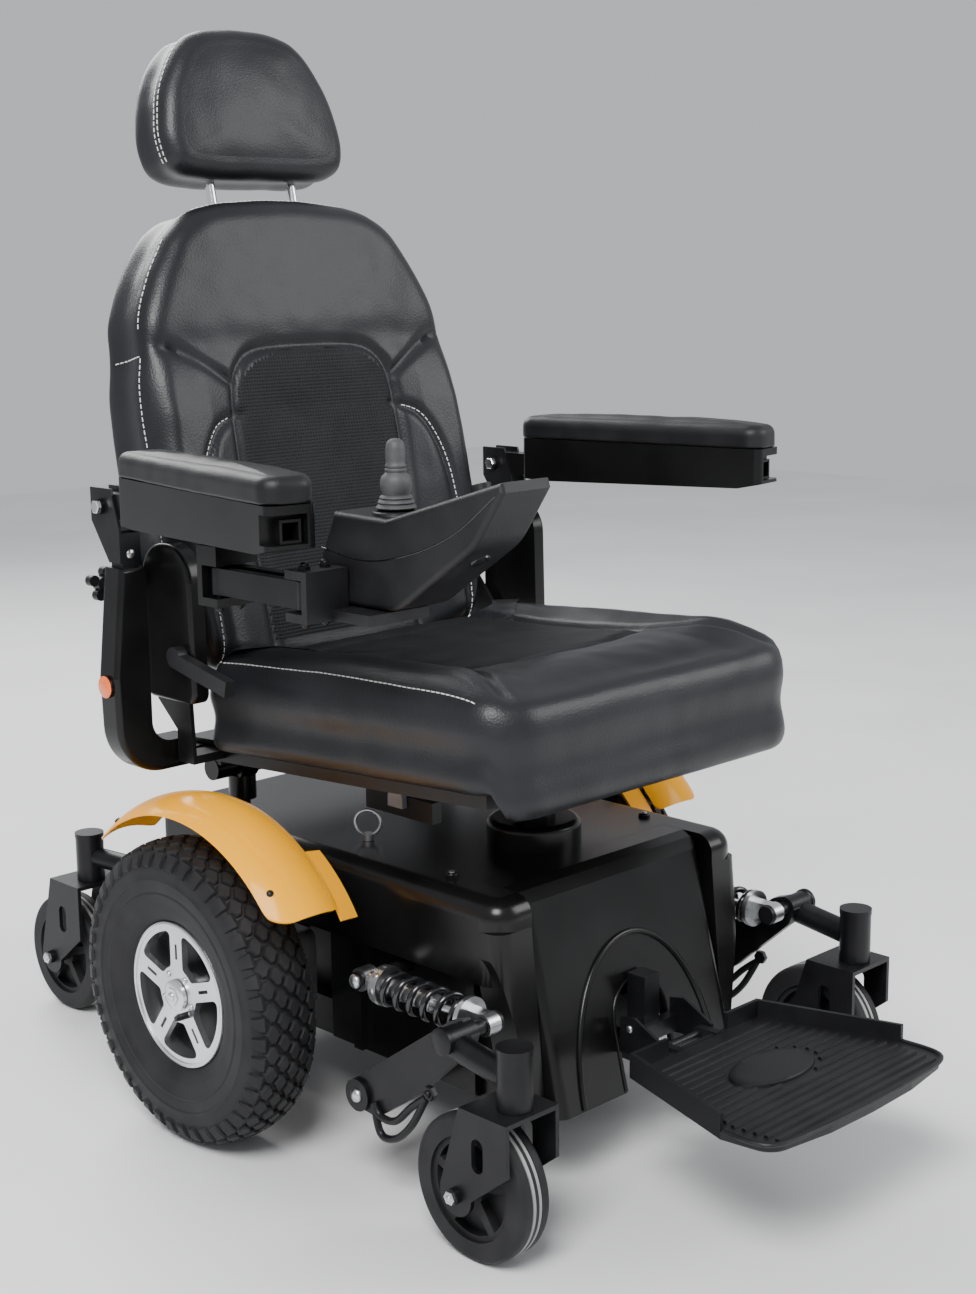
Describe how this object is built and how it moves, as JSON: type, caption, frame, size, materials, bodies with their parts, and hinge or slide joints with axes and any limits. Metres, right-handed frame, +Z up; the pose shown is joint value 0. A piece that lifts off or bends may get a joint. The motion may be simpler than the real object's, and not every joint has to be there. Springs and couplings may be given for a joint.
{
  "type": "power wheelchair",
  "caption": "Mid-wheel-drive power wheelchair: padded captain's seat with headrest and armrests, side joystick, sprung front casters, rear casters and folding footplate.",
  "frame": {"origin": "on the floor, midway between the footplate's front edge and the rear casters' back, on the chair's centre plane", "axes": "+X towards the user's left, +Y to the rear of the chair, +Z up"},
  "size_m": [0.8082, 1.2365, 1.285],
  "materials": {
    "frame_black": "satin",
    "cover_black": "satin",
    "fender_yellow": "gloss",
    "seat_black": "satin",
    "tyre_black": "matte",
    "wheel_silver": "machined",
    "zinc": "satin",
    "chrome": "polished",
    "motor_grey": "satin",
    "battery_grey": "matte",
    "knob_black": "matte",
    "grip_black": "matte"
  },
  "bodies": {
    "base": {"base_frame": "frame_black", "batteries": "battery_grey", "control_module": "motor_grey", "gearmotors": "motor_grey", "top_cover": "cover_black", "front_shroud": "cover_black", "rear_deck": "cover_black", "fenders": "fender_yellow", "cover_plugs": "cover_black", "footplate_mount": "frame_black", "seat_frame": "frame_black", "seat_post": "frame_black", "seat_cushion": "seat_black", "armrest_sleeves": "cover_black", "recline_covers": "cover_black"},
    "footplate": {"footplate": "cover_black"},
    "backrest": {"backrest_cushion": "seat_black", "backrest_frame": "frame_black"},
    "headrest": {"headrest_posts": "chrome", "headrest_pad": "seat_black"},
    "recline_lever": {"recline_lever": "knob_black"},
    "release_pin": {"release_pin": "zinc"},
    "link_outer": {"joystick_link_outer": "frame_black"},
    "link_inner": {"joystick_link_inner": "frame_black"},
    "joystick_pod": {"joystick_pod": "cover_black"},
    "joystick_gimbal": {"joystick_gimbal": "zinc"},
    "joystick_stick": {"joystick_stick": "grip_black"},
    "power_button": {"power_button": "knob_black"},
    "speed_knob": {"speed_knob": "knob_black"},
    "drive_wheel_left": {"drive_tyre_left": "tyre_black", "drive_rim_left": "wheel_silver"},
    "front_arm_left": {"front_arm_left": "frame_black"},
    "shock_body_left": {"shock_body_left": "zinc", "shock_spring_left": "frame_black"},
    "shock_rod_left": {"shock_rod_left": "zinc"},
    "caster_fork_front_left": {"caster_fork_front_left": "frame_black"},
    "caster_wheel_front_left": {"caster_wheel_front_left": "tyre_black"},
    "caster_fork_rear_left": {"caster_fork_rear_left": "frame_black"},
    "caster_wheel_rear_left": {"caster_wheel_rear_left": "tyre_black"},
    "armrest_post_left": {"armrest_post_left": "frame_black"},
    "armrest_left": {"armrest_body_left": "cover_black", "armrest_pad_left": "seat_black"},
    "clamp_knob_left": {"clamp_knob_left": "knob_black"},
    "freewheel_lever_left": {"freewheel_lever_left": "fender_yellow"},
    "drive_wheel_right": {"drive_tyre_right": "tyre_black", "drive_rim_right": "wheel_silver"},
    "front_arm_right": {"front_arm_right": "frame_black"},
    "shock_body_right": {"shock_body_right": "zinc", "shock_spring_right": "frame_black"},
    "shock_rod_right": {"shock_rod_right": "zinc"},
    "caster_fork_front_right": {"caster_fork_front_right": "frame_black"},
    "caster_wheel_front_right": {"caster_wheel_front_right": "tyre_black"},
    "caster_fork_rear_right": {"caster_fork_rear_right": "frame_black"},
    "caster_wheel_rear_right": {"caster_wheel_rear_right": "tyre_black"},
    "armrest_post_right": {"armrest_post_right": "frame_black"},
    "armrest_right": {"armrest_body_right": "cover_black", "armrest_pad_right": "seat_black"},
    "clamp_knob_right": {"clamp_knob_right": "knob_black"},
    "freewheel_lever_right": {"freewheel_lever_right": "fender_yellow"}
  },
  "joints": [
    {"name": "drive_wheel_spin_left", "type": "hinge", "parent": "base", "child": "drive_wheel_left", "pos_m": [0.31, 0.08775, 0.1775], "axis": [1, 0, 0], "continuous": true},
    {"name": "front_arm_swing_left", "type": "hinge", "parent": "base", "child": "front_arm_left", "pos_m": [0.229, -0.14725, 0.1087], "axis": [-1, 0, 0], "range_deg": [0, 8], "stiffness_Nm_per_rad": 700, "springref_deg": -6.88},
    {"name": "shock_tilt_left", "type": "hinge", "parent": "base", "child": "shock_body_left", "pos_m": [0.239, -0.11825, 0.2234], "axis": [-1, 0, 0], "range_deg": [0, 7.2]},
    {"name": "shock_compress_left", "type": "slide", "parent": "shock_body_left", "child": "shock_rod_left", "axis": [0, 1, 0], "range_m": [0, 0.0165], "deforming": ["shock_spring_left"]},
    {"name": "caster_swivel_front_left", "type": "hinge", "parent": "front_arm_left", "child": "caster_fork_front_left", "pos_m": [0.287, -0.39375, 0.206], "axis": [0, 0, 1], "continuous": true},
    {"name": "caster_roll_front_left", "type": "hinge", "parent": "caster_fork_front_left", "child": "caster_wheel_front_left", "pos_m": [0.287, -0.34625, 0.078], "axis": [1, 0, 0], "continuous": true},
    {"name": "caster_swivel_rear_left", "type": "hinge", "parent": "base", "child": "caster_fork_rear_left", "pos_m": [0.19, 0.49275, 0.222], "axis": [0, 0, 1], "continuous": true},
    {"name": "caster_roll_rear_left", "type": "hinge", "parent": "caster_fork_rear_left", "child": "caster_wheel_rear_left", "pos_m": [0.19, 0.54025, 0.078], "axis": [1, 0, 0], "continuous": true},
    {"name": "armrest_height_left", "type": "slide", "parent": "base", "child": "armrest_post_left", "axis": [0, 0, 1], "range_m": [0, 0.06]},
    {"name": "armrest_flip_left", "type": "hinge", "parent": "armrest_post_left", "child": "armrest_left", "pos_m": [0.314, 0.21775, 0.7227], "axis": [-1, 0, 0], "range_deg": [0, 95]},
    {"name": "clamp_knob_turn_left", "type": "hinge", "parent": "base", "child": "clamp_knob_left", "pos_m": [0.314, 0.22775, 0.63], "axis": [0, 1, 0], "continuous": true},
    {"name": "freewheel_lever_turn_left", "type": "hinge", "parent": "base", "child": "freewheel_lever_left", "pos_m": [0.212, 0.28775, 0.2215], "axis": [0, 0, -1], "range_deg": [0, 45]},
    {"name": "drive_wheel_spin_right", "type": "hinge", "parent": "base", "child": "drive_wheel_right", "pos_m": [-0.31, 0.08775, 0.1775], "axis": [1, 0, 0], "continuous": true},
    {"name": "front_arm_swing_right", "type": "hinge", "parent": "base", "child": "front_arm_right", "pos_m": [-0.229, -0.14725, 0.1087], "axis": [-1, 0, 0], "range_deg": [0, 8], "stiffness_Nm_per_rad": 700, "springref_deg": -6.88},
    {"name": "shock_tilt_right", "type": "hinge", "parent": "base", "child": "shock_body_right", "pos_m": [-0.239, -0.11825, 0.2234], "axis": [-1, 0, 0], "range_deg": [0, 7.2]},
    {"name": "shock_compress_right", "type": "slide", "parent": "shock_body_right", "child": "shock_rod_right", "axis": [0, 1, 0], "range_m": [0, 0.0165], "deforming": ["shock_spring_right"]},
    {"name": "caster_swivel_front_right", "type": "hinge", "parent": "front_arm_right", "child": "caster_fork_front_right", "pos_m": [-0.287, -0.39375, 0.206], "axis": [0, 0, 1], "continuous": true},
    {"name": "caster_roll_front_right", "type": "hinge", "parent": "caster_fork_front_right", "child": "caster_wheel_front_right", "pos_m": [-0.287, -0.34625, 0.078], "axis": [1, 0, 0], "continuous": true},
    {"name": "caster_swivel_rear_right", "type": "hinge", "parent": "base", "child": "caster_fork_rear_right", "pos_m": [-0.19, 0.49275, 0.222], "axis": [0, 0, 1], "continuous": true},
    {"name": "caster_roll_rear_right", "type": "hinge", "parent": "caster_fork_rear_right", "child": "caster_wheel_rear_right", "pos_m": [-0.19, 0.54025, 0.078], "axis": [1, 0, 0], "continuous": true},
    {"name": "armrest_height_right", "type": "slide", "parent": "base", "child": "armrest_post_right", "axis": [0, 0, 1], "range_m": [0, 0.06]},
    {"name": "armrest_flip_right", "type": "hinge", "parent": "armrest_post_right", "child": "armrest_right", "pos_m": [-0.314, 0.21775, 0.7227], "axis": [-1, 0, 0], "range_deg": [0, 95]},
    {"name": "clamp_knob_turn_right", "type": "hinge", "parent": "base", "child": "clamp_knob_right", "pos_m": [-0.314, 0.22775, 0.63], "axis": [0, 1, 0], "continuous": true},
    {"name": "freewheel_lever_turn_right", "type": "hinge", "parent": "base", "child": "freewheel_lever_right", "pos_m": [-0.212, 0.28775, 0.2215], "axis": [0, 0, 1], "range_deg": [0, 45]},
    {"name": "footplate_fold", "type": "hinge", "parent": "base", "child": "footplate", "pos_m": [0, -0.36725, 0.15], "axis": [-1, 0, 0], "range_deg": [0, 88]},
    {"name": "backrest_recline", "type": "hinge", "parent": "base", "child": "backrest", "pos_m": [0, 0.18775, 0.52], "axis": [-1, 0, 0], "range_deg": [-10, 30]},
    {"name": "headrest_height", "type": "slide", "parent": "backrest", "child": "headrest", "axis": [0, 0.2079, 0.9781], "range_m": [0, 0.06]},
    {"name": "recline_lever_lift", "type": "hinge", "parent": "base", "child": "recline_lever", "pos_m": [-0.2955, 0.12775, 0.556], "axis": [-1, 0, 0], "range_deg": [0, 20], "stiffness_Nm_per_rad": 0.6, "springref_deg": -14.32},
    {"name": "release_pin_pull", "type": "slide", "parent": "base", "child": "release_pin", "axis": [0, 0, 1], "range_m": [0, 0.03]},
    {"name": "joystick_swing", "type": "hinge", "parent": "armrest_right", "child": "link_outer", "pos_m": [-0.35, -0.02925, 0.667], "axis": [0, 0, 1], "range_deg": [0, 40]},
    {"name": "joystick_link_follow", "type": "hinge", "parent": "armrest_right", "child": "link_inner", "pos_m": [-0.324, -0.02925, 0.667], "axis": [0, 0, 1], "range_deg": [0, 40.5]},
    {"name": "pod_link_pivot", "type": "hinge", "parent": "link_outer", "child": "joystick_pod", "pos_m": [-0.35, -0.16925, 0.667], "axis": [0, 0, 1], "range_deg": [-40.5, 0]},
    {"name": "joystick_forward", "type": "hinge", "parent": "joystick_pod", "child": "joystick_gimbal", "pos_m": [-0.272, -0.22025, 0.722], "axis": [1, 0, 0], "range_deg": [-15, 15], "stiffness_Nm_per_rad": 0.5},
    {"name": "joystick_sideways", "type": "hinge", "parent": "joystick_gimbal", "child": "joystick_stick", "pos_m": [-0.272, -0.22025, 0.722], "axis": [0, 1, 0], "range_deg": [-15, 15], "stiffness_Nm_per_rad": 0.5},
    {"name": "power_button_press", "type": "slide", "parent": "joystick_pod", "child": "power_button", "axis": [0, -0.284, -0.9588], "range_m": [0, 0.0015], "stiffness_N_per_m": 600, "springref_m": -0.001},
    {"name": "speed_knob_turn", "type": "hinge", "parent": "joystick_pod", "child": "speed_knob", "pos_m": [-0.272, -0.34225, 0.77463], "axis": [0, 0.284, 0.9588], "range_deg": [-135, 135]}
  ],
  "couplings": [
    {"joint": "shock_tilt_left", "follows": "front_arm_swing_left", "ratio": 0.8797},
    {"joint": "shock_compress_left", "follows": "front_arm_swing_left", "m_per_rad": 0.11617},
    {"joint": "shock_tilt_right", "follows": "front_arm_swing_right", "ratio": 0.8797},
    {"joint": "shock_compress_right", "follows": "front_arm_swing_right", "m_per_rad": 0.11617},
    {"joint": "joystick_link_follow", "follows": "joystick_swing", "ratio": 1},
    {"joint": "pod_link_pivot", "follows": "joystick_swing", "ratio": -1}
  ]
}
